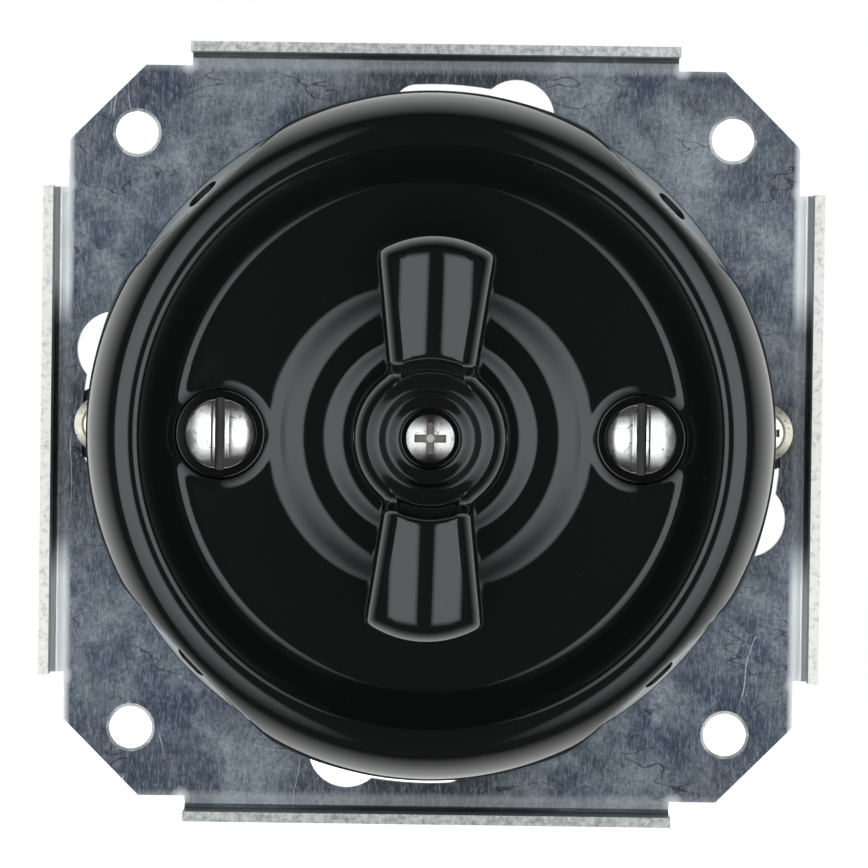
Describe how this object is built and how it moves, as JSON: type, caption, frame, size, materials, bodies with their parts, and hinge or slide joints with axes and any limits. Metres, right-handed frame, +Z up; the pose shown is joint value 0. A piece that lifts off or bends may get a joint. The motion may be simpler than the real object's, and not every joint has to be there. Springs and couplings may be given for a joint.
{
  "type": "porcelain rotary switch",
  "caption": "Round glazed porcelain rotary light switch with a two-winged knob on a square flanged steel plate, for a wall box.",
  "frame": {"origin": "centre of the mounting plate's hole pattern, on the back face of the plate", "axes": "+Z up on the wall, -Y out of the wall along the spindle, +X to the right seen from the front"},
  "size_m": [0.071, 0.0443, 0.071],
  "materials": {
    "zinc_plate": "zinc plated and passivated, mottled",
    "black_glaze": "high gloss glaze",
    "bright_screw": "polished nickel",
    "bare_steel": "satin",
    "moulding": "matt black moulding",
    "brass": "satin",
    "spring_bronze": "satin",
    "fibre": "matt vulcanised fibre"
  },
  "bodies": {
    "frame": {"mounting_plate": "zinc_plate", "cover_disc": "black_glaze", "switch_base": "moulding", "bearing_strap": "bare_steel", "base_screws": "bare_steel", "terminal_screws": "bare_steel", "contact_rivets": "brass", "thrust_washer": "bare_steel", "cover_screw_left": "bright_screw", "cover_screw_right": "bright_screw", "fixing_screw_left": "bare_steel", "fixing_screw_right": "bare_steel", "screw_keeper_left": "fibre", "screw_keeper_right": "fibre", "detent_spring_left": "spring_bronze", "detent_spring_right": "spring_bronze", "terminal_1": "brass", "contact_spring_1": "spring_bronze", "terminal_2": "brass", "contact_spring_2": "spring_bronze", "terminal_3": "brass", "contact_spring_3": "spring_bronze", "terminal_4": "brass", "contact_spring_4": "spring_bronze"},
    "rotor": {"knob": "black_glaze", "knob_screw": "bright_screw", "spindle": "bare_steel", "retaining_clip": "bare_steel", "detent_cam": "moulding", "contact_bridge": "brass", "contact_carrier": "moulding"}
  },
  "joints": [
    {"name": "knob_turn", "type": "hinge", "parent": "frame", "child": "rotor", "pos_m": [0, 0, 0], "axis": [0, 1, 0], "continuous": true, "deforming": ["detent_spring_left", "detent_spring_right"]}
  ]
}
